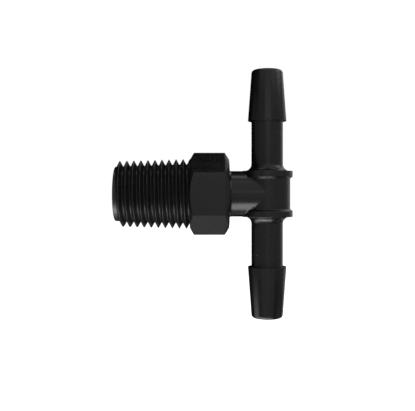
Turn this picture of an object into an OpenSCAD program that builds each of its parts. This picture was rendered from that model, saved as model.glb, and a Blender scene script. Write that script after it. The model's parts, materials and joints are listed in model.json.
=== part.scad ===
// Barbed tee connector: a hose barb at each end of the run and a male taper pipe thread on the branch.
// The origin is where the run's bore and the branch's bore cross. +Z is up the run, and the thread
// points towards -X. Lengths are in millimetres. "Reach" is a distance along the branch from the
// run's axis, and "rise" is a distance along the run from the branch's axis.
//
// The fitting is one injection moulding. Each of its sections is a node of its own, and the sections
// meet face to face.

/* [Run] */
// Diameter of the barrel where the run and the branch cross
barrel_d = 9.2; // [9:0.1:10]
// Diameter of the collar at each end of the barrel
collar_d = 10.2; // [9.8:0.1:11]
// Rise of each collar's outer face
collar_rise = 4.6; // [4.6:0.1:5.5]
// Height of a collar's straight rim
collar_rim = 1.1; // [0.6:0.1:1.4]
// Height of the slope between a collar's rim and the barrel
collar_slope = 0.5; // [0.2:0.1:0.8]

/* [Hose ends] */
// Diameter of the stem behind each barb
stem_d = 6.3; // [5.6:0.1:6.6]
// Radius of the fillet where a stem spreads into its collar
stem_fillet = 1.4; // [0.6:0.1:1.4]
// Rise of each barb's sharp back edge
barb_rise = 14.6; // [9:0.1:18]
// Diameter of a barb at its sharp back edge
barb_d = 7.7; // [7:0.1:8.5]
// Diameter of a barb at the edge of its nose
barb_tip_d = 6.2; // [5.6:0.1:6.6]
// Length of a barb from its back edge to its nose
barb_len = 10.3; // [7:0.1:13]
// Radius on the outer edge of a barb's nose
barb_round = 0.7; // [0.1:0.1:0.7]

/* [Branch] */
// Diameter of the neck between the barrel and the hexagon
neck_d = 9.1; // [8:0.1:9.1]
// Radius of the fillet where the neck meets the hexagon
neck_fillet = 0.5; // [0.2:0.1:0.8]
// Reach of the hexagon's near face
hex_reach = 7.7; // [6.5:0.1:12]
// Length of the hexagon
hex_len = 7.8; // [6:0.1:12]
// Hexagon size across its flats, nine sixteenths of an inch
hex_flats = 14.288; // [14:0.001:16]
// Diameter of the circle that the chamfers leave on each face of the hexagon
hex_face_d = 13.8; // [13.4:0.1:14.2]
// Angle of the chamfers on the hexagon's corners
hex_chamfer = 30; // [20:1:40]

/* [Pipe thread] */
// Threads per inch
threads_per_inch = 18; // [14:1:20]
// Number of whole turns from the hexagon to the first full crest
thread_turns = 10; // [6:1:12]
// Crest diameter at the first full thread
thread_d = 13.2; // [13:0.1:13.8]
// Taper of the thread on its diameter, one in this many
thread_taper = 16; // [12:1:24]
// Height of the thread from its root to its crest
thread_height = 1.1; // [0.8:0.05:1.1]
// Length of the plain nose in front of the thread
nose_len = 0.3; // [0.3:0.1:2]
// Radius on the nose's outer edge
nose_round = 0.25; // [0.1:0.05:0.25]

/* [Bores] */
// Bore right through the run
run_bore_d = 4.3; // [3:0.1:4.6]
// Bore through the neck
branch_bore_d = 4; // [2.5:0.1:4.2]
// Wider bore inside the threaded stem
stem_bore_d = 7.4; // [5:0.1:8]
// Reach at which the wider bore has narrowed to the neck's bore
shoulder_reach = 11.5; // [11:0.1:13]
// Length of the conical shoulder between the two bores
shoulder_len = 1.5; // [0.5:0.1:2]

/* [Hidden] */
$fn = 96;
INCH = 25.4;
MOULDING = "#1b1b1c";
BARREL_RISE = collar_rise - collar_rim - collar_slope;
HEX_FACE = hex_reach + hex_len;
HEX_CORNERS = hex_flats / cos(30);
PITCH = INCH / threads_per_inch;
// Round side count of the thread's mesh
THREAD_SIDES = 60;
// Half widths of the crest and of the root, as shares of the pitch
CREST_HALF = 0.02;
FLANK = thread_height / (PITCH * tan(60));
ROOT_HALF = 0.5 - CREST_HALF - FLANK;
// The ridge fades into the nose over this share of a turn after its last full crest
FADE = 0.3;
// Share of a turn from the end of that fade to the nose
RUNOUT = 0.15;
THREAD_END = HEX_FACE + (thread_turns + FADE + RUNOUT) * PITCH;
// Phase of each line that runs along the helix, and whether it is on the crest
LINES = [-CREST_HALF, CREST_HALF, 0.5 - ROOT_HALF, 0.5 + ROOT_HALF];
// How far a tool reaches past the face that it cuts
PAST = 1;

// Puts a child drawn up the Z axis on the branch, reaching towards -X
module on_branch() { rotate([0, -90, 0]) children(); }

// Mirrors the upper half of the run to the lower half
module at_end(up) { mirror([0, 0, up ? 0 : 1]) children(); }

// The bores of the whole fitting, cut out of each section
module bores() {
    cylinder(d = run_bore_d, h = 2 * (barb_rise + barb_len + PAST), center = true);
    on_branch() {
        cylinder(d = branch_bore_d, h = shoulder_reach + PAST);
        translate([0, 0, shoulder_reach])
            cylinder(d1 = branch_bore_d, d2 = stem_bore_d, h = shoulder_len);
        translate([0, 0, shoulder_reach + shoulder_len])
            cylinder(d = stem_bore_d, h = THREAD_END + nose_len - shoulder_reach);
    }
}

// Outline of a collar above the barrel: a slope, a straight rim and the outer face
module collar_outline() {
    polygon([[0, BARREL_RISE], [barrel_d / 2, BARREL_RISE],
        [collar_d / 2, BARREL_RISE + collar_slope], [collar_d / 2, collar_rise], [0, collar_rise]]);
}

// Outline of the fillet on a collar's outer face, which narrows to the stem
module flare_outline() {
    spread = stem_d / 2 + stem_fillet;
    difference() {
        translate([0, collar_rise]) square([spread, stem_fillet]);
        translate([spread, collar_rise + stem_fillet]) circle(r = stem_fillet);
    }
}

// Everything on the run that the branch's neck butts against
module run_core() {
    cylinder(d = barrel_d, h = 2 * BARREL_RISE, center = true);
    for (up = [true, false]) at_end(up) rotate_extrude() collar_outline();
}

// A barb's outline: a flat back, a sharp edge, a long taper and a rounded nose
module barb_outline() {
    nose = barb_rise + barb_len;
    taper = atan((barb_d - barb_tip_d) / 2 / barb_len);
    // Centre of the nose's round, which touches the taper and the nose's face
    round_x = barb_tip_d / 2 - barb_round * (1 - sin(taper)) / cos(taper);
    round_y = nose - barb_round;
    touch = [round_x + barb_round * cos(taper), round_y + barb_round * sin(taper)];
    polygon([[0, barb_rise], [barb_d / 2, barb_rise], touch, [round_x, round_y], [round_x, nose],
        [0, nose]]);
    translate([round_x, round_y]) circle(r = barb_round);
}

// Radius of the thread's surface at a reach and an angle around the branch
function crest_radius(reach) =
    thread_d / 2 + (HEX_FACE + thread_turns * PITCH - reach) / (2 * thread_taper);
function ridge_share(phase) = min(1, max(0, (0.5 - ROOT_HALF - abs(phase)) / FLANK));
function fade_share(turns) = min(1, max(0, (thread_turns + FADE - turns) / FADE));
function thread_radius(reach, angle) =
    let (along = (reach - HEX_FACE) / PITCH - angle / 360, turn = round(along))
    crest_radius(reach) - thread_height
        + thread_height * ridge_share(along - turn) * fade_share(turn + angle / 360);

// A point of the thread's mesh: side i, and line j of the helix, held between the two end faces
function thread_point(i, j) =
    let (angle = 360 * i / THREAD_SIDES,
        turns = floor(j / len(LINES)) - 1 + LINES[j % len(LINES)] + i / THREAD_SIDES,
        reach = min(THREAD_END, max(HEX_FACE, HEX_FACE + turns * PITCH)),
        radius = thread_radius(reach, angle))
    [radius * cos(angle), radius * sin(angle), reach];

// Solid helical ridge on a taper, flat at both ends
module helix() {
    last = len(LINES) * (thread_turns + 2);
    // One more turn on is the same line, so the last side joins the first a whole turn further up
    function at(i, j) = (i % THREAD_SIDES) * (last + 1)
        + min(last, j + (i == THREAD_SIDES ? len(LINES) : 0));
    sides = [for (i = [0:THREAD_SIDES - 1], j = [0:last - 1], half = [0, 1])
        half == 0 ? [at(i, j), at(i, j + 1), at(i + 1, j + 1)]
            : [at(i, j), at(i + 1, j + 1), at(i + 1, j)]];
    near_end = [for (i = [0:THREAD_SIDES - 1]) at(i, 0)];
    far_end = [for (i = [THREAD_SIDES - 1:-1:0]) at(i, last)];
    polyhedron(points = [for (i = [0:THREAD_SIDES - 1], j = [0:last]) thread_point(i, j)],
        faces = concat(sides, [near_end, far_end]));
}

// Plain rounded nose that guides the thread into its port
module pilot_nose() {
    face_r = crest_radius(THREAD_END) - thread_height;
    color(MOULDING) difference() {
        on_branch() translate([0, 0, THREAD_END]) rotate_extrude() intersection() {
            square([face_r, nose_len]);
            union() {
                square([face_r, nose_len - nose_round]);
                square([face_r - nose_round, nose_len]);
                translate([face_r - nose_round, nose_len - nose_round]) circle(r = nose_round);
            }
        }
        bores();
    }
}

// Tapered right-hand pipe thread on the branch's stem
module pipe_thread() {
    color(MOULDING) difference() {
        on_branch() helix();
        bores();
    }
}

// Hexagon for a spanner, its corners chamfered at both faces
module wrench_hex() {
    chamfer_len = (HEX_CORNERS - hex_face_d) / 2 * tan(hex_chamfer);
    color(MOULDING) difference() {
        on_branch() translate([0, 0, hex_reach]) intersection() {
            cylinder(d = HEX_CORNERS, h = hex_len, $fn = 6);
            union() {
                cylinder(d1 = hex_face_d, d2 = HEX_CORNERS, h = chamfer_len);
                translate([0, 0, chamfer_len]) cylinder(d = HEX_CORNERS, h = hex_len - 2 * chamfer_len);
                translate([0, 0, hex_len - chamfer_len])
                    cylinder(d1 = HEX_CORNERS, d2 = hex_face_d, h = chamfer_len);
            }
        }
        bores();
    }
}

// Round neck from the hexagon to the barrel, which it meets in a saddle
module branch_neck() {
    spread = neck_d / 2 + neck_fillet;
    color(MOULDING) difference() {
        on_branch() rotate_extrude() difference() {
            square([spread, hex_reach]);
            translate([spread, hex_reach - neck_fillet]) circle(r = neck_fillet);
            translate([neck_d / 2, 0]) square([spread, hex_reach - neck_fillet]);
        }
        run_core();
        bores();
    }
}

// Barrel in the middle, between the collars
module tee_barrel() {
    color(MOULDING) difference() {
        cylinder(d = barrel_d, h = 2 * BARREL_RISE, center = true);
        bores();
    }
}

// Collar at one end of the barrel, with the fillet that spreads the stem onto it
module collar(up) {
    color(MOULDING) difference() {
        at_end(up) rotate_extrude() union() {
            collar_outline();
            flare_outline();
        }
        bores();
    }
}

// Stem that the hose closes on, between a collar's fillet and the back of its barb
module stem(up) {
    fillet_rise = collar_rise + stem_fillet;
    color(MOULDING) difference() {
        at_end(up) translate([0, 0, fillet_rise]) cylinder(d = stem_d, h = barb_rise - fillet_rise);
        bores();
    }
}

// Single long barb at one end of the run
module barb(up) {
    color(MOULDING) difference() {
        at_end(up) rotate_extrude() barb_outline();
        bores();
    }
}

pilot_nose();
pipe_thread();
wrench_hex();
branch_neck();
tee_barrel();
collar(true);  // upper_collar
collar(false);  // lower_collar
stem(true);  // upper_stem
stem(false);  // lower_stem
barb(true);  // upper_barb
barb(false);  // lower_barb
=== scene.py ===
"""A moulded barbed tee connector in fine mesh around its packed frame, on a pale studio set."""

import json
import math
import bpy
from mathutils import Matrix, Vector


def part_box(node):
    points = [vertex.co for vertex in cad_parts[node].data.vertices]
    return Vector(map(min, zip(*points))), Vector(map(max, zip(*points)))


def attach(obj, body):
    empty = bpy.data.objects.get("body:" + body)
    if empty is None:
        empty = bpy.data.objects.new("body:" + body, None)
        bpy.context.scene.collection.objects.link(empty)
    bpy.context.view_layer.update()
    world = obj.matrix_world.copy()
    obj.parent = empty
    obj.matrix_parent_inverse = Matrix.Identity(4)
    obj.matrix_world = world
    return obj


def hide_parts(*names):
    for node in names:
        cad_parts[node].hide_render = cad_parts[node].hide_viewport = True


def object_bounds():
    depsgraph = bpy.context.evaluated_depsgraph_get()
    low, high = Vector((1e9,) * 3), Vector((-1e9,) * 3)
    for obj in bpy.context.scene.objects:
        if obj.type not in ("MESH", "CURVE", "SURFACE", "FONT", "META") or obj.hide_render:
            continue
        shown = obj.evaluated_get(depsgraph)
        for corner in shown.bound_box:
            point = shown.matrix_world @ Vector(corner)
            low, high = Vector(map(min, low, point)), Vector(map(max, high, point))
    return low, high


bl_info = {
    "name": "Barbed Tee Connector",
    "version": (1, 0, 0),
    "blender": (4, 5, 0),
    "location": "3D View > Sidebar > Tee",
    "description": "Builds a black nylon tee with two hose barbs and a male taper pipe thread",
    "category": "Add Mesh",
}

import bmesh
import bpy
import numpy as np
from bpy.props import FloatProperty, FloatVectorProperty, IntProperty, PointerProperty
from mathutils import Vector

# The run stands along Z, the branch reaches towards -X, and the camera looks along +Y.
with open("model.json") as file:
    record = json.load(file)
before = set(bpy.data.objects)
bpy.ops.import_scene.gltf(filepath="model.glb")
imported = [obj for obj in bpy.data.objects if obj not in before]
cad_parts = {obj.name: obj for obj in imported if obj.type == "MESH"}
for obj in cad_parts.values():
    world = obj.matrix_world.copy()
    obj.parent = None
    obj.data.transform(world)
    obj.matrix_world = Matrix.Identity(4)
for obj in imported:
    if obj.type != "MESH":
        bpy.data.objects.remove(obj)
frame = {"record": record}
CAD_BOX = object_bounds()
BODY = "root"
MM = 0.001
INCH = 25.4 * MM


def mount_sizes(name):
    """Radius and length in metres of one of the frame's round mounts."""
    dims = next(m for m in frame["record"]["mounts"] if m["name"] == name)["dims"]
    return dims["r_mm"] * MM, dims["length_mm"] * MM


def half_width(node, axis):
    """Half of a node's size along an axis."""
    low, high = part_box(node)
    return (high[axis] - low[axis]) / 2


def length(name, text, default, low=0.0, high=0.1):
    """A length property in metres."""
    return FloatProperty(name=name, description=text, default=default, min=low, max=high,
                         precision=5, subtype="DISTANCE", unit="LENGTH")


class TEE_PG_run(bpy.types.PropertyGroup):
    """Sizes of the run: barrel, collars, stems and barbs."""

    sides: IntProperty(name="Sides", description="Columns around each turned section",
                       default=192, min=48, max=384)
    bore: length("Bore radius", "Radius of the bore through the run", mount_sizes("run_bore")[0])
    barrel: length("Barrel radius", "Outer radius of the barrel", half_width("tee_barrel", 0))
    collar: length("Collar radius", "Outer radius of each collar", half_width("upper_collar", 0))
    stem: length("Stem radius", "Outer radius of each stem", half_width("upper_stem", 0))
    stem_step: length("Stem step", "Spacing of the rings along each stem", 0.1 * MM)
    barb: length("Barb radius", "Radius at the barb's sharp back edge", half_width("upper_barb", 0))
    barb_tip: length("Barb tip radius", "Radius of the barb at its nose", 3.1 * MM)
    barb_round: length("Barb nose round", "Radius on the outer edge of the barb's nose", 0.7 * MM)
    slope: length("Collar slope", "Height of the slope between barrel and rim", 0.42 * MM)
    hollow: length("Collar hollow", "Size of the hollow curve between barrel and slope", 0.1 * MM)
    rim_round: length("Rim round", "Radius on the collar's edges", 0.1 * MM)
    face_rise: length("Collar face", "Rise of the collar's outer face", 4.6 * MM)


class TEE_PG_branch(bpy.types.PropertyGroup):
    """Sizes of the branch: neck, hexagon, thread and nose."""

    neck: length("Neck radius", "Outer radius of the neck", 4.55 * MM)
    neck_bore: length("Neck bore radius", "Radius of the bore through the neck",
                      mount_sizes("neck_bore")[0])
    stem_bore: length("Stem bore radius", "Radius of the bore inside the thread",
                      mount_sizes("branch_bore")[0])
    neck_fillet: length("Neck fillet", "Radius between the neck and the hexagon", 0.5 * MM)
    saddle_fillet: length("Saddle fillet", "Radius between the neck and the barrel", 0.3 * MM)
    hex_flats: length("Hexagon flats", "Distance of each flat from the axis",
                      half_width("wrench_hex", 1))
    hex_face: length("Hexagon face", "Radius of the circle that the chamfers leave", 6.9 * MM)
    hex_corner: length("Hexagon corner round", "Radius along the hexagon's corners", 0.08 * MM)
    hex_edge: length("Hexagon edge round", "Radius along the chamfers' edges", 0.1 * MM)
    hex_blend: length("Hexagon blend", "Length over which the flats curve onto the neck's side",
                      0.88 * MM)
    hex_fall: length("Hexagon fall", "How far that curve's bend dips in the middle of each flat",
                     0.1 * MM)
    pitch: length("Pitch", "Distance between neighbouring crests", INCH / 18)
    height: length("Thread height", "Height of the thread from root to crest", 1.1 * MM)
    taper: FloatProperty(name="Taper", description="Taper on the diameter, one in this many",
                         default=16.0, min=8.0, max=40.0)
    turns: IntProperty(name="Turns", description="Turns of full ridge, counted from the hexagon",
                       default=10, min=4, max=14)
    nose_round: length("Nose round", "Radius on the nose's outer edge", 0.25 * MM)


class TEE_PG_nylon(bpy.types.PropertyGroup):
    """Colour and finish of the moulding, and the marks that its mould leaves."""

    dark: FloatVectorProperty(name="Dark", description="Darker shade of the nylon", size=3,
                              default=(0.0055, 0.0055, 0.0058), min=0.0, max=1.0, subtype="COLOR")
    light: FloatVectorProperty(name="Light", description="Lighter shade of the nylon", size=3,
                               default=(0.0095, 0.0095, 0.0100), min=0.0, max=1.0, subtype="COLOR")
    roughness: FloatProperty(name="Roughness", description="Mean roughness of the skin",
                             default=0.27, min=0.0, max=1.0, subtype="FACTOR")
    seam_height: length("Parting line height", "How far the mould's parting line stands proud",
                        0.02 * MM)
    seam_width: length("Parting line width", "Half width of the parting line", 0.05 * MM)
    pip_height: length("Pip height", "How far the mould's pips stand proud", 0.07 * MM)
    pip_radius: length("Pip radius", "Radius of the mould's pips", 0.2 * MM)


class TEE_PG_studio(bpy.types.PropertyGroup):
    """The set, its lights and the camera."""

    distance: length("Camera distance", "From the camera to the run's axis", 142 * MM, high=2.0)
    view_width: length("View width", "Width that the picture covers at the run's axis", 83.5 * MM,
                       high=2.0)
    centre: FloatVectorProperty(name="View centre", description="X and Z in the picture's middle",
                                default=(-12.0 * MM, -2.35 * MM), size=2, min=-0.1, max=0.1)
    station: FloatVectorProperty(name="Camera station", description="X and Z of the camera",
                                 default=(-12.4 * MM, 1.0 * MM), size=2, min=-0.1, max=0.1)
    box_distance: length("Soft box distance", "From the part to each soft box", 0.6, high=2.0)
    floor_drop: length("Floor drop", "From the lowest point of the part to the floor", 8 * MM)


# ---------------------------------------------------------------- outlines and rings

SEAM_CLEARANCE = 0.3 * MM  # the parting line raises only points this far outside the bore
MOUTH_ROUND = 0.2 * MM  # radius on the inner edge of each open end
FINE_STEPS = 8  # steps of an arc that shows


def arc_points(centre, start, end, sweep, steps):
    """Points around a centre as one radius vector sweeps round to another."""
    return [centre + (np.sin((1 - t) * sweep) * start + np.sin(t * sweep) * end) / np.sin(sweep)
            for t in np.linspace(0, 1, steps + 1)]


def round_corners(corners, steps):
    """Points of an outline whose corners (radius, along, fillet) are rounded with arcs."""
    points = []
    for before, here, after in zip(corners[-1:] + corners[:-1], corners, corners[1:] + corners[:1]):
        corner, fillet = np.array(here[:2]), here[2]
        if fillet <= 0:
            points.append(corner)
            continue
        to_before = np.array(before[:2]) - corner
        to_after = np.array(after[:2]) - corner
        to_before /= np.linalg.norm(to_before)
        to_after /= np.linalg.norm(to_after)
        half = math.acos(np.clip(to_before @ to_after, -1, 1)) / 2
        bisector = (to_before + to_after) / np.linalg.norm(to_before + to_after)
        centre = corner + bisector * fillet / math.sin(half)
        start = corner + to_before * fillet / math.tan(half) - centre
        end = corner + to_after * fillet / math.tan(half) - centre
        points += arc_points(centre, start, end, math.pi - 2 * half, steps)
    return np.array(points)


def curve_through(bend, steps):
    """Points of the smooth curve that starts and ends along the two legs of a bend."""
    start, corner, end = (np.array(point) for point in bend)
    t = np.linspace(0, 1, steps + 1)[:, None]
    return (1 - t)**2 * start + 2 * t * (1 - t) * corner + t**2 * end


def ring_angles(sides, seam):
    """Even angles around a ring, with two more beside each parting line at 0 and half a turn."""
    even = [2 * math.pi * i / sides for i in range(sides)]
    beside = [centre + side * seam for centre in (0, math.pi) for side in (-1, 1)]
    return np.array(sorted(even + [angle % (2 * math.pi) for angle in beside]))


def seam_share(angles, seam):
    """1 on the parting line, falling to 0 at its edges."""
    off = np.abs((angles + math.pi / 2) % math.pi - math.pi / 2)
    return np.clip(1 - off / seam, 0, 1)


def around_run(radius, rise, angle):
    """Points at a radius, a rise and an angle around the run."""
    x, y = radius * np.cos(angle), radius * np.sin(angle)
    return np.stack(np.broadcast_arrays(x, y, rise), axis=-1)


def around_branch(radius, reach, angle):
    """Points at a radius, a reach and an angle around the branch."""
    y, z = radius * np.sin(angle), radius * np.cos(angle)
    return np.stack(np.broadcast_arrays(-reach, y, z), axis=-1)


def turned_grid(outlines, angles, to_point, seam_height=0.0, seam=1.0, bore=0.0):
    """Grid of points from one closed outline for each angle, or from one for them all."""
    outlines = np.asarray(outlines)
    if outlines.ndim == 2:
        outlines = np.repeat(outlines[None], len(angles), axis=0)
    radius, along = outlines[..., 0], outlines[..., 1]
    proud = seam_height * seam_share(angles, seam)[:, None] * (radius > bore + SEAM_CLEARANCE)
    return to_point(radius + proud, along, angles[:, None])


# ---------------------------------------------------------------- meshes and pieces

WELD = 1e-7  # points closer together than this become one
SLIVER = 1e-8  # edges shorter than this are dissolved


def closed_mesh(grid):
    """Mesh of a grid that closes on itself both ways."""
    columns, rows = grid.shape[:2]
    faces = []
    for i in range(columns):
        for j in range(rows):
            k, m = (i + 1) % columns, (j + 1) % rows
            faces.append((i * rows + j, k * rows + j, k * rows + m, i * rows + m))
    mesh = bpy.data.meshes.new("moulding")
    mesh.from_pydata([tuple(p) for p in grid.reshape(-1, 3)], [], faces)
    return mesh


def finish_mesh(mesh, sharp=28.0):
    """Welds, turns the faces outwards and shades the mesh smooth between its sharp edges."""
    bm = bmesh.new()
    bm.from_mesh(mesh)
    bmesh.ops.remove_doubles(bm, verts=bm.verts, dist=WELD)
    bmesh.ops.dissolve_degenerate(bm, dist=SLIVER, edges=bm.edges)
    bmesh.ops.recalc_face_normals(bm, faces=bm.faces)
    if bm.calc_volume(signed=True) < 0:
        bmesh.ops.reverse_faces(bm, faces=bm.faces)
    for face in bm.faces:
        face.smooth = True
    bm.to_mesh(mesh)
    bm.free()
    mesh.set_sharp_from_angle(angle=math.radians(sharp))
    mesh.update()
    return mesh


def place(mesh, name, node, material):
    """Puts a finished mesh in the scene as the piece that stands for a frame node."""
    piece = bpy.data.objects.new(name, mesh)
    mesh.name = name
    mesh.materials.clear()
    mesh.materials.append(material)
    bpy.context.scene.collection.objects.link(piece)
    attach(piece, BODY)
    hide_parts(node)
    return piece


def cut(piece, cutter_mesh):
    """Cuts a closed mesh out of a piece."""
    cutter = bpy.data.objects.new("cutter", cutter_mesh)
    bpy.context.scene.collection.objects.link(cutter)
    modifier = piece.modifiers.new("cut", "BOOLEAN")
    modifier.operation = "DIFFERENCE"
    modifier.solver = "EXACT"
    modifier.object = cutter
    bpy.context.view_layer.update()
    graph = bpy.context.evaluated_depsgraph_get()
    mesh = bpy.data.meshes.new_from_object(piece.evaluated_get(graph), depsgraph=graph)
    piece.modifiers.clear()
    old, name = piece.data, piece.data.name
    piece.data = mesh
    bpy.data.meshes.remove(old)
    mesh.name = name
    bpy.data.objects.remove(cutter)
    bpy.data.meshes.remove(cutter_mesh)
    finish_mesh(mesh)


# ---------------------------------------------------------------- nylon

# Finishes: added roughness, times paler (above 1 this is painted light), strength of the grain,
# axis of the flow streaks
FINISHES = {
    "run_nylon": (0.0, 1.0, 0.12, 2),
    "neck_nylon": (-0.03, 1.0, 0.1, 0),
    "hex_nylon": (0.0, 1.0, 0.12, 0),
    # The thread's copy is 1.6 times paler: painted light that lifts the thread and nose, not a
    # paler nylon
    "thread_nylon_painted_paler": (0.04, 1.6, 0.15, 0),
}
NYLON_IOR = 1.53
GLOSS_SPREAD = 0.03  # how far patches differ from the mean roughness, each way
STREAK_STRETCH = 0.12  # scale of the streaks' texture along them, which draws them out
NOISE_SPAN = (0.3, 0.7)  # the part of a noise texture's values that is used
# Size of each mark as a texture scale per metre, and the depth and strength of its bump
STREAK_SCALE, STREAK_DEPTH, STREAK_STRENGTH = 900, 0.006 * MM, 0.35
WAVE_SCALE, WAVE_DEPTH, WAVE_STRENGTH = 260, 0.012 * MM, 0.25
GRAIN_SCALE, GRAIN_DEPTH = 9000, 0.0025 * MM
PATCH_SCALE = 420


def nylon(name):
    """Black moulded nylon: fine grain, soft waviness, flow streaks and uneven gloss; a copy with a
    paler base carries painted light.
    """
    material = bpy.data.materials.get(name)
    if material:
        return material
    duller, painted_light_gain, grain, streak_axis = FINISHES[name]
    settings = bpy.context.scene.tee_nylon
    roughness = settings.roughness + duller
    material = bpy.data.materials.new(name)
    material.use_nodes = True
    nodes, links = material.node_tree.nodes, material.node_tree.links
    shader = nodes["Principled BSDF"]
    shader.inputs["Specular IOR Level"].default_value = 0.5
    shader.inputs["IOR"].default_value = NYLON_IOR
    where = nodes.new("ShaderNodeTexCoord")

    def noise(scale, detail, stretch=(1, 1, 1), rough=0.5):
        spread = nodes.new("ShaderNodeMapping")
        spread.inputs["Scale"].default_value = stretch
        links.new(where.outputs["Object"], spread.inputs["Vector"])
        texture = nodes.new("ShaderNodeTexNoise")
        texture.inputs["Scale"].default_value = scale
        texture.inputs["Detail"].default_value = detail
        texture.inputs["Roughness"].default_value = rough
        links.new(spread.outputs["Vector"], texture.inputs["Vector"])
        return texture.outputs["Fac"]

    def ranged(value, low, high):
        node = nodes.new("ShaderNodeMapRange")
        node.inputs["From Min"].default_value = NOISE_SPAN[0]
        node.inputs["From Max"].default_value = NOISE_SPAN[1]
        node.inputs["To Min"].default_value = low
        node.inputs["To Max"].default_value = high
        links.new(value, node.inputs["Value"])
        return node.outputs["Result"]

    def bump(height, depth, strength, before=None):
        node = nodes.new("ShaderNodeBump")
        node.inputs["Distance"].default_value = depth
        node.inputs["Strength"].default_value = strength
        links.new(height, node.inputs["Height"])
        if before:
            links.new(before, node.inputs["Normal"])
        return node.outputs["Normal"]

    stretch = [1.0, 1.0, 1.0]
    stretch[streak_axis] = STREAK_STRETCH
    streaks = noise(STREAK_SCALE, 3, stretch, 0.6)
    # Both shades are multiplied by the finish's paler factor; where that is above 1, as on the
    # thread, the lift is painted light
    tint = nodes.new("ShaderNodeMix")
    tint.data_type = "RGBA"
    tint.inputs["A"].default_value = (*(channel * painted_light_gain for channel in settings.dark), 1)
    tint.inputs["B"].default_value = (*(channel * painted_light_gain for channel in settings.light), 1)
    links.new(ranged(streaks, 0, 1), tint.inputs["Factor"])
    links.new(tint.outputs["Result"], shader.inputs["Base Color"])

    patches = noise(PATCH_SCALE, 4, rough=0.6)
    gloss = ranged(patches, roughness - GLOSS_SPREAD, roughness + GLOSS_SPREAD)
    links.new(gloss, shader.inputs["Roughness"])

    wavy = bump(noise(WAVE_SCALE, 2), WAVE_DEPTH, WAVE_STRENGTH)
    flowing = bump(streaks, STREAK_DEPTH, STREAK_STRENGTH, wavy)
    grained = bump(noise(GRAIN_SCALE, 2), GRAIN_DEPTH, grain, flowing)
    links.new(grained, shader.inputs["Normal"])
    return material


# ---------------------------------------------------------------- sections of the run

# Both ends of the run, and the sign of Z there
ENDS = {"upper": 1, "lower": -1}
# The branch's hole through the barrel's wall: where it starts, and its columns
HOLE_START = 0.2 * MM
HOLE_SIDES, HOLE_SEAM = 96, 0.01
# Where a collar's hollow curve ends, out and up, in times its size
HOLLOW_OUT, HOLLOW_UP = 1.2, 1.8
BARB_EDGE = 0.05 * MM  # radius on the barb's sharp back edge
# Pips that the mould leaves on the stems: turn from the front in degrees, and rise
PIPS = {"upper": [(51, 11.96 * MM)], "lower": [(-43, 11.90 * MM), (51, 7.56 * MM)]}


def turned_section(corners, side=1, steps=FINE_STEPS):
    """Closed mesh of an outline turned around the run; a side of -1 mirrors it to the lower end."""
    run, skin = bpy.context.scene.tee_run, bpy.context.scene.tee_nylon
    seam = skin.seam_width / run.stem
    grid = turned_grid(round_corners(corners, steps) * (1, side), ring_angles(run.sides, seam),
                       around_run, skin.seam_height, seam, run.bore)
    return finish_mesh(closed_mesh(grid))


class TEE_OT_barrel(bpy.types.Operator):
    """Build the barrel between the collars, with the hole that the branch opens into"""

    bl_idname = "tee.barrel"
    bl_label = "Barrel"

    def execute(self, context):
        run, branch = context.scene.tee_run, context.scene.tee_branch
        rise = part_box("tee_barrel")[1].z
        corners = [(run.bore, -rise, 0), (run.barrel, -rise, 0),
                   (run.barrel, rise, 0), (run.bore, rise, 0)]
        piece = place(turned_section(corners), "barrel", "tee_barrel", nylon("run_nylon"))
        beyond = 2 * run.barrel
        hole = [(0, HOLE_START), (branch.neck_bore, HOLE_START),
                (branch.neck_bore, beyond), (0, beyond)]
        grid = turned_grid(hole, ring_angles(HOLE_SIDES, HOLE_SEAM), around_branch)
        cut(piece, finish_mesh(closed_mesh(grid)))
        return {"FINISHED"}


class TEE_OT_collars(bpy.types.Operator):
    """Build both collars, with the fillets that spread the stems onto them"""

    bl_idname = "tee.collars"
    bl_label = "Collars"

    def execute(self, context):
        run = context.scene.tee_run
        low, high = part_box("upper_collar")
        # A hair less than the full rise, so that the arc ends before the next corner
        fillet = (high.z - run.face_rise) * 0.999
        # The step up to the rim leaves the barrel through a small hollow curve
        bend = [(run.barrel, low.z), (run.barrel, low.z + run.hollow),
                (run.barrel + HOLLOW_OUT * run.hollow, low.z + HOLLOW_UP * run.hollow)]
        corners = [(run.bore, low.z, 0)]
        corners += [(radius, rise, 0) for radius, rise in curve_through(bend, steps=4)]
        corners += [
            (run.collar, low.z + run.slope, run.rim_round),
            (run.collar, run.face_rise, run.rim_round),
            (run.stem, run.face_rise, fillet),
            (run.stem, high.z, 0),
            (run.bore, high.z, 0),
        ]
        for end, side in ENDS.items():
            place(turned_section(corners, side, steps=14), end + "_collar_ring",
                  end + "_collar", nylon("run_nylon"))
        return {"FINISHED"}


class TEE_OT_stems(bpy.types.Operator):
    """Build both plain stems, with the small pips that the mould leaves on them"""

    bl_idname = "tee.stems"
    bl_label = "Stems"

    def execute(self, context):
        run, skin = context.scene.tee_run, context.scene.tee_nylon
        low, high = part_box("upper_stem")
        seam = skin.seam_width / run.stem
        angles = ring_angles(run.sides, seam)
        rises = np.append(np.arange(low.z, high.z, run.stem_step), high.z)
        outline = [(run.bore, low.z)] + [(run.stem, rise) for rise in rises] + [(run.bore, high.z)]
        for end, side in ENDS.items():
            grid = turned_grid(outline, angles, around_run, skin.seam_height, seam, run.bore)
            for turn, rise in PIPS[end]:
                self.raise_pip(grid, math.radians(turn), rise, run, skin)
            grid[..., 2] *= side
            place(finish_mesh(closed_mesh(grid)), end + "_stem_tube", end + "_stem",
                  nylon("run_nylon"))
        return {"FINISHED"}

    @staticmethod
    def raise_pip(grid, turn, rise, run, skin):
        """Pushes the skin out into a low round pip."""
        spot = np.array([run.stem * math.sin(turn), -run.stem * math.cos(turn), rise])
        away = np.linalg.norm(grid - spot, axis=-1)
        out = grid * np.array([1, 1, 0]) / run.stem
        grid += out * (skin.pip_height * np.exp(-(away / skin.pip_radius)**2))[..., None]


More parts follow.
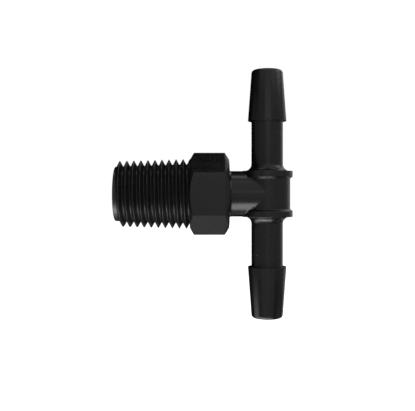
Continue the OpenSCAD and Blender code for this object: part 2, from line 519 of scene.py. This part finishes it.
class TEE_OT_barbs(bpy.types.Operator):
    """Build the long barb at each end of the run"""

    bl_idname = "tee.barbs"
    bl_label = "Barbs"

    def execute(self, context):
        run = context.scene.tee_run
        low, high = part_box("upper_barb")
        corners = [
            (run.bore, low.z, 0),
            (run.barb, low.z, BARB_EDGE),
            (run.barb_tip, high.z, run.barb_round),
            (run.bore, high.z, MOUTH_ROUND),
        ]
        for end, side in ENDS.items():
            place(turned_section(corners, side), end + "_barb_cone", end + "_barb",
                  nylon("run_nylon"))
        return {"FINISHED"}


# ---------------------------------------------------------------- sections of the branch

# The saddle's fillet shrinks, down to a least share, where the neck's skin is this close to the
# rise of a collar's outer face
FACE_MARGIN = 1.2 * MM
LEAST_FILLET = 0.08
SADDLE_SUNK = 0.2 * MM  # how far the neck goes on under the barrel's skin, which hides its end
SEARCH_OUT = 1 * MM  # how far beyond the collar's radius the fillet's centre is looked for
HALVINGS = 40
HAIR = 1e-7  # step over which a slope is measured
LEAST_TURN = 1e-3  # keeps an arc of no sweep from dividing by zero
NECK_STEPS = 11  # straight steps between the neck's two fillets

FACE_RING = 0.3 * MM  # from the edge of the hexagon's face to the ring inside it
LEAST_BEND = 0.3 * MM  # least distance from the face to the bend of the neck's side
FLAT_RING = 0.1 * MM  # from the end of the curved side to the first ring on the flat
CHAMFER_ANGLE = math.pi / 6

# Half of one ridge's profile, in pitches from its crest: half the crest's flat, half the root's
# flat, how far each way the corners are eased, and where the points lie
CREST_FLAT, ROOT_FLAT, EASE = 0.03, 0.055, 0.035
RIDGE_POINTS = np.array([0, 0.015, 0.03, 0.045, 0.07, 0.12, 0.20, 0.28, 0.36, 0.40, 0.425, 0.45,
                         0.475, 0.5])
FADE_TURN = 0.3  # share of a turn over which the ridge dies away at the nose
THREAD_SHARP = 40.0  # degrees, so that the eased ridges shade smooth


def run_distance(radius, rise, run):
    """Distance from a point at a radius and a rise to the outline of the barrel and collars."""
    barrel_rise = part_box("tee_barrel")[1].z
    outline = [(run.barrel, 0.0), (run.barrel, barrel_rise), (run.collar, barrel_rise + run.slope),
               (run.collar, run.face_rise), (0.0, run.face_rise)]
    rise = np.abs(rise)
    nearest = np.full(np.shape(radius), np.inf)
    for (r0, z0), (r1, z1) in zip(outline, outline[1:]):
        edge = np.array([r1 - r0, z1 - z0])
        t = np.clip(((radius - r0) * edge[0] + (rise - z0) * edge[1]) / (edge @ edge), 0, 1)
        away = np.hypot(radius - r0 - t * edge[0], rise - z0 - t * edge[1])
        nearest = np.minimum(nearest, away)
    return nearest


class TEE_OT_neck(bpy.types.Operator):
    """Build the neck, which flares into the hexagon and meets the barrel in a filleted saddle"""

    bl_idname = "tee.neck"
    bl_label = "Neck"

    def execute(self, context):
        run, branch = context.scene.tee_run, context.scene.tee_branch
        skin = context.scene.tee_nylon
        seam = skin.seam_width / branch.neck
        angles = ring_angles(run.sides, seam)
        proud = skin.seam_height * seam_share(angles, seam)[:, None] * around_branch(1, 0, angles)
        flare = [row + proud for row in self.flare(branch, angles)]
        saddle = self.saddle(run, branch, angles)
        start, end = flare[-1], saddle[0] + proud
        tube = [start * (1 - t) + end * t for t in np.linspace(0, 1, NECK_STEPS + 1)[1:-1]]
        near_mouth = around_branch(branch.neck_bore, -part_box("wrench_hex")[1].x, angles)
        side = branch.neck_bore * np.sin(angles)
        reach = np.sqrt((run.barrel - SADDLE_SUNK)**2 - side**2)
        far_mouth = around_branch(branch.neck_bore, reach, angles)
        grid = np.stack([near_mouth, *flare, *tube, *saddle, far_mouth], axis=1)
        place(finish_mesh(closed_mesh(grid)), "neck_tube", "branch_neck", nylon("neck_nylon"))
        return {"FINISHED"}

    @staticmethod
    def flare(branch, angles):
        """Rows of the fillet from the hexagon's face onto the neck."""
        hex_reach = -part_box("wrench_hex")[1].x
        fillet = branch.neck_fillet
        return [around_branch(branch.neck + fillet * (1 - math.sin(turn)),
                              hex_reach - fillet * (1 - math.cos(turn)), angles)
                for turn in np.linspace(0, math.pi / 2, FINE_STEPS + 1)]

    @staticmethod
    def saddle(run, branch, angles):
        """Rows of the fillet that a ball leaves as it rolls along the neck and the run."""
        near_face = (run.face_rise - branch.neck * np.abs(np.cos(angles))) / FACE_MARGIN
        ball = branch.saddle_fillet * np.clip(near_face, LEAST_FILLET, 1)
        side, rise = (branch.neck + ball) * np.sin(angles), (branch.neck + ball) * np.cos(angles)
        # Halve the range of radii until the ball at each angle just touches the run
        barrel_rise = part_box("tee_barrel")[1].z
        low = np.interp(np.abs(rise), [barrel_rise, barrel_rise + run.slope],
                        [run.barrel, run.collar])
        high = np.full(len(angles), run.collar + SEARCH_OUT)
        for _ in range(HALVINGS):
            middle = (low + high) / 2
            inside = run_distance(middle, rise, run) < ball
            low, high = np.where(inside, middle, low), np.where(inside, high, middle)
        out = (low + high) / 2
        back = np.sqrt(np.maximum(out**2 - side**2, 0))
        centre = np.stack([-back, side, rise], axis=-1)
        # The run's skin faces the way in which the distance from it grows
        slope_r = run_distance(out + HAIR, rise, run) - run_distance(out - HAIR, rise, run)
        slope_z = run_distance(out, rise + HAIR, run) - run_distance(out, rise - HAIR, run)
        normal = np.stack([-back / out * slope_r, side / out * slope_r, slope_z], axis=-1)
        normal /= np.linalg.norm(normal, axis=-1, keepdims=True)
        to_neck = -around_branch(1, 0, angles)
        turn = np.arccos(np.clip((to_neck * -normal).sum(-1), -1, 1))[:, None]
        turn = np.maximum(turn, LEAST_TURN)
        reach = ball[:, None]
        rows = arc_points(centre, reach * to_neck, -reach * normal, turn, FINE_STEPS)
        return rows + [rows[-1] - SADDLE_SUNK * normal]


class TEE_OT_hexagon(bpy.types.Operator):
    """Build the chamfered hexagon that a spanner holds"""

    bl_idname = "tee.hexagon"
    bl_label = "Hexagon"

    def execute(self, context):
        run, branch = context.scene.tee_run, context.scene.tee_branch
        skin = context.scene.tee_nylon
        low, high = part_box("wrench_hex")
        near, far = -high.x, -low.x
        seam = skin.seam_width / branch.hex_flats
        angles = ring_angles(run.sides, seam)
        radii = self.hexagon_radii(branch, angles)
        shoulder_near, shoulder_far = self.shoulder(run, branch)
        outlines = []
        for radius in radii:
            chamfer = max(radius - branch.hex_face, 0) * math.tan(CHAMFER_ANGLE)
            corners = [
                (branch.neck_bore, near, 0),
                (branch.hex_face - FACE_RING, near, 0),
                (radius, near + branch.hex_blend + FLAT_RING, 0),
                (radius, far - chamfer, branch.hex_edge),
                (branch.hex_face, far, branch.hex_edge),
                (branch.stem_bore, far, 0),
                (branch.stem_bore, shoulder_far, 0),
                (branch.neck_bore, shoulder_near, 0),
            ]
            outline = round_corners(corners, steps=4)
            # The neck's side curves from the face to the flat, and dips a little between corners
            fall = branch.hex_fall * (radii.max() - radius) / (radii.max() - radii.min())
            bend = [(branch.hex_face, near), (radius - fall, near + max(chamfer, LEAST_BEND)),
                    (radius, near + branch.hex_blend)]
            side = curve_through(bend, steps=10)
            outlines.append(np.concatenate([outline[:2], side, outline[2:]]))
        grid = turned_grid(outlines, angles, around_branch, skin.seam_height, seam,
                           branch.stem_bore)
        place(finish_mesh(closed_mesh(grid)), "spanner_hexagon", "wrench_hex", nylon("hex_nylon"))
        return {"FINISHED"}

    @staticmethod
    def hexagon_radii(branch, angles):
        """Radius at each angle of a hexagon with rounded corners, one of them at angle 0."""
        sixth = math.pi / 3
        off_corner = np.abs((angles + sixth / 2) % sixth - sixth / 2)
        flat = branch.hex_flats / np.cos(sixth / 2 - off_corner)
        inset = branch.hex_flats - branch.hex_corner
        centre = inset / math.cos(sixth / 2)
        across = branch.hex_corner**2 - (centre * np.sin(off_corner))**2
        rounded = centre * np.cos(off_corner) + np.sqrt(np.maximum(across, 0))
        arc_end = sixth / 2 - math.atan(inset * math.tan(sixth / 2) / branch.hex_flats)
        return np.where(off_corner < arc_end, rounded, flat)

    @staticmethod
    def shoulder(run, branch):
        """Reach of both ends of the cone between the neck's bore and the wider one."""
        mouth = -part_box("pilot_nose")[0].x
        narrow = math.sqrt(run.bore**2 - branch.neck_bore**2) + mount_sizes("neck_bore")[1]
        return narrow, mouth - mount_sizes("branch_bore")[1]


def ridge_height(phase):
    """Height share of the thread's ridge at a phase from its crest, with its corners eased."""
    eased = np.linspace(-EASE, EASE, 9)
    off = np.abs((np.asarray(phase)[..., None] + eased + 0.5) % 1.0 - 0.5)
    flank = 0.5 - CREST_FLAT - ROOT_FLAT
    return np.clip(1 - (off - CREST_FLAT) / flank, 0, 1).mean(axis=-1)


class TEE_OT_thread(bpy.types.Operator):
    """Build the tapered right-hand pipe thread"""

    bl_idname = "tee.thread"
    bl_label = "Pipe thread"

    def execute(self, context):
        run, branch = context.scene.tee_run, context.scene.tee_branch
        low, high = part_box("pipe_thread")
        face, end = -high.x, -low.x
        nose_radius = half_width("pilot_nose", 2)
        ridge = np.concatenate([-RIDGE_POINTS[-2:0:-1], RIDGE_POINTS])
        # Lines along the helix, in pitches; those beyond either end are pushed back onto it
        lines = np.concatenate([ridge + turn for turn in range(-1, branch.turns + 2)])
        columns = []
        for i in range(run.sides):
            share = i / run.sides
            reach = np.clip(face + (lines + share) * branch.pitch, face, end)
            along = (reach - face) / branch.pitch - share
            left = branch.turns + FADE_TURN - (np.round(along) + share)
            fade = np.clip(left / FADE_TURN, 0, 1)
            fade = fade * fade * (3 - 2 * fade)
            core = nose_radius + (end - reach) / (2 * branch.taper)
            radius = core + branch.height * ridge_height(along) * fade
            columns.append(around_branch(radius, reach, 2 * math.pi * share))
        mesh = self.threaded(columns, len(ridge), branch.stem_bore, face, end)
        place(mesh, "helical_thread", "pipe_thread", nylon("thread_nylon_painted_paler"))
        return {"FINISHED"}

    @staticmethod
    def threaded(columns, per_turn, bore, face, end):
        """Closed mesh of the helical skin, the bore and both end faces."""
        sides, last = len(columns), len(columns[0]) - 1
        angles = 2 * math.pi * np.arange(sides) / sides
        rings = [around_branch(bore, reach, angles) for reach in (face, end)]
        points = np.concatenate(columns + rings)
        bore_start = sides * (last + 1)

        def at(i, j):
            # After the last column comes the first again, one turn further along the helix
            if i < sides:
                return i * (last + 1) + j
            return min(last, j + per_turn)

        faces = []
        for i in range(sides):
            k = (i + 1) % sides
            for j in range(last):
                faces.append((at(i, j), at(i, j + 1), at(i + 1, j + 1), at(i + 1, j)))
            near, far = bore_start + i, bore_start + sides + i
            near_k, far_k = bore_start + k, bore_start + sides + k
            faces.append((at(i, 0), at(k, 0), near_k, near))
            faces.append((at(i, last), at(k, last), far_k, far))
            faces.append((near, near_k, far_k, far))
        mesh = bpy.data.meshes.new("thread")
        mesh.from_pydata([tuple(p) for p in points], [], faces)
        return finish_mesh(mesh, THREAD_SHARP)


class TEE_OT_nose(bpy.types.Operator):
    """Build the plain rounded nose in front of the thread"""

    bl_idname = "tee.nose"
    bl_label = "Nose"

    def execute(self, context):
        run, branch = context.scene.tee_run, context.scene.tee_branch
        low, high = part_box("pilot_nose")
        radius = high.z
        corners = [
            (branch.stem_bore, -high.x, 0),
            (radius, -high.x, 0),
            (radius, -low.x, branch.nose_round),
            (branch.stem_bore, -low.x, MOUTH_ROUND),
        ]
        angles = ring_angles(run.sides, context.scene.tee_nylon.seam_width / radius)
        grid = turned_grid(round_corners(corners, FINE_STEPS), angles, around_branch)
        place(finish_mesh(closed_mesh(grid)), "plain_nose", "pilot_nose", nylon("thread_nylon_painted_paler"))
        return {"FINISHED"}


# ---------------------------------------------------------------- stage

FLOOR_REACH = 3.0  # from the floor's middle to each side
SENSOR = 36  # width in millimetres
CLIPS = (0.005, 20)  # nearest and farthest that the camera sees
# Soft boxes: name, azimuth and elevation in degrees, width and height, radiance.
# Azimuth 0 is the camera's side and 90 is +X; a box behind the part has an azimuth beyond 90.
SOFT_BOXES = [
    ("front", 0, 0, 0.35, 0.30, 0.35),
    ("front_right", 45, 0, 0.60, 0.30, 0.30),
    ("front_left", -45, 0, 0.60, 0.30, 0.25),
    ("right", 90, 0, 0.40, 0.30, 0.25),
    ("left", -90, 0, 0.40, 0.30, 0.15),
    ("rear_right", 135, 0, 0.50, 0.30, 0.50),
    ("upper_front", 0, 30, 0.45, 0.50, 0.45),
    ("upper_right", 45, 35, 0.40, 0.35, 0.70),
    ("upper_left", -45, 35, 0.40, 0.35, 0.40),
    ("key", 90, 35, 0.40, 0.35, 1.50),
    ("upper_rear_right", 140, 30, 0.40, 0.35, 0.80),
    ("overhead_front", 0, 65, 0.45, 0.25, 0.60),
    ("overhead", 180, 85, 0.60, 0.20, 1.20),
    ("high_rear_right", 155, 50, 0.20, 0.20, 0.50),
    ("low_front", 0, -30, 1.00, 0.40, 0.25),
    ("low_strip", 0, -61, 0.45, 0.24, 3.50),
    ("low_strip_back", 0, -80, 0.45, 0.18, 3.00),
    ("beneath", 180, -68, 0.45, 0.40, 0.30),
    ("low_left", -90, -35, 0.40, 0.35, 1.50),
    ("beneath_left", -75, -60, 0.50, 0.40, 2.60),
    ("low_right", 90, -35, 0.40, 0.35, 0.30),
    ("low_rear_right", 145, -25, 0.25, 0.25, 0.50),
]


def soft_box(name, azimuth, elevation, width, height, radiance):
    """Area light that faces the origin and doesn't show in the picture."""
    turn, lift = math.radians(azimuth), math.radians(elevation)
    way = Vector((math.sin(turn) * math.cos(lift), -math.cos(turn) * math.cos(lift),
                  math.sin(lift)))
    light = bpy.data.lights.new(name, "AREA")
    light.shape = "RECTANGLE"
    light.size, light.size_y = width, height
    light.energy = radiance * math.pi * width * height
    lamp = bpy.data.objects.new(name, light)
    lamp.location = way * bpy.context.scene.tee_studio.box_distance
    lamp.rotation_euler = way.to_track_quat("Z", "Y").to_euler()
    lamp.visible_camera = False
    bpy.context.scene.collection.objects.link(lamp)


def white_paper():
    """Material of the floor: paper so evenly lit that it reads as white."""
    material = bpy.data.materials.new("white_paper")
    material.use_nodes = True
    shader = material.node_tree.nodes["Principled BSDF"]
    shader.inputs["Base Color"].default_value = (0.9, 0.9, 0.9, 1)
    shader.inputs["Roughness"].default_value = 0.9
    shader.inputs["Emission Color"].default_value = (1, 1, 1, 1)
    shader.inputs["Emission Strength"].default_value = 1.0
    return material


class TEE_OT_studio(bpy.types.Operator):
    """Set up the pale floor, the white room, the soft boxes and the camera"""

    bl_idname = "tee.studio"
    bl_label = "Studio"

    def execute(self, context):
        studio = context.scene.tee_studio
        self.lay_floor(context, CAD_BOX[0][2] - studio.floor_drop)
        self.paint_room(context)
        for box in SOFT_BOXES:
            soft_box(*box)
        self.set_camera(context, studio)
        return {"FINISHED"}

    @staticmethod
    def lay_floor(context, floor_z):
        """Lays the floor, which only the camera sees."""
        mesh = bpy.data.meshes.new("floor")
        bm = bmesh.new()
        bmesh.ops.create_grid(bm, x_segments=1, y_segments=1, size=FLOOR_REACH)
        bmesh.ops.translate(bm, verts=bm.verts, vec=(0, 0, floor_z))
        bm.to_mesh(mesh)
        bm.free()
        mesh.materials.append(white_paper())
        floor = bpy.data.objects.new("floor", mesh)
        context.scene.collection.objects.link(floor)
        floor.visible_glossy = False
        floor.visible_diffuse = False
        floor.visible_shadow = False

    @staticmethod
    def paint_room(context):
        """Makes the world a white backdrop that lights nothing."""
        world = bpy.data.worlds.new("white_room")
        context.scene.world = world
        world.use_nodes = True
        background = world.node_tree.nodes["Background"]
        background.inputs["Color"].default_value = (1, 1, 1, 1)
        background.inputs["Strength"].default_value = 1.0
        world.cycles_visibility.diffuse = False
        world.cycles_visibility.glossy = False
        context.scene.view_settings.view_transform = "Standard"

    @staticmethod
    def set_camera(context, studio):
        """Sets up the camera, level and square to the part, with a small shift for the framing."""
        camera = bpy.data.cameras.new("camera")
        camera.sensor_width = SENSOR
        camera.lens = camera.sensor_width * studio.distance / studio.view_width
        camera.clip_start, camera.clip_end = CLIPS
        camera.shift_x = (studio.centre[0] - studio.station[0]) / studio.view_width
        camera.shift_y = (studio.centre[1] - studio.station[1]) / studio.view_width
        eye = bpy.data.objects.new("camera", camera)
        eye.location = (studio.station[0], -studio.distance, studio.station[1])
        eye.rotation_euler = (math.pi / 2, 0, 0)
        context.scene.collection.objects.link(eye)
        context.scene.camera = eye


# ---------------------------------------------------------------- add-on

GROUPS = {"tee_run": TEE_PG_run, "tee_branch": TEE_PG_branch, "tee_nylon": TEE_PG_nylon,
          "tee_studio": TEE_PG_studio}
OPERATORS = (TEE_OT_barrel, TEE_OT_collars, TEE_OT_stems, TEE_OT_barbs, TEE_OT_neck,
             TEE_OT_hexagon, TEE_OT_thread, TEE_OT_nose, TEE_OT_studio)


class TEE_PT_panel(bpy.types.Panel):
    """Lists the sizes and finishes, and the steps that build the tee and its set"""

    bl_idname = "TEE_PT_panel"
    bl_label = "Barbed Tee"
    bl_space_type = "VIEW_3D"
    bl_region_type = "UI"
    bl_category = "Tee"

    def draw(self, context):
        for name, group in GROUPS.items():
            box = self.layout.box()
            box.label(text=group.__doc__)
            for setting in group.__annotations__:
                box.prop(getattr(context.scene, name), setting)
        for step in OPERATORS:
            self.layout.operator(step.bl_idname)


def register():
    for cls in (*GROUPS.values(), *OPERATORS, TEE_PT_panel):
        bpy.utils.register_class(cls)
    for name, group in GROUPS.items():
        setattr(bpy.types.Scene, name, PointerProperty(type=group))


def unregister():
    for name in GROUPS:
        delattr(bpy.types.Scene, name)
    for cls in (TEE_PT_panel, *reversed(OPERATORS), *reversed(tuple(GROUPS.values()))):
        bpy.utils.unregister_class(cls)


def main():
    """Builds the tee and its set in order."""
    register()
    for step in OPERATORS:
        getattr(bpy.ops.tee, step.bl_idname.split(".")[1])()


if __name__ == "__main__":
    main()
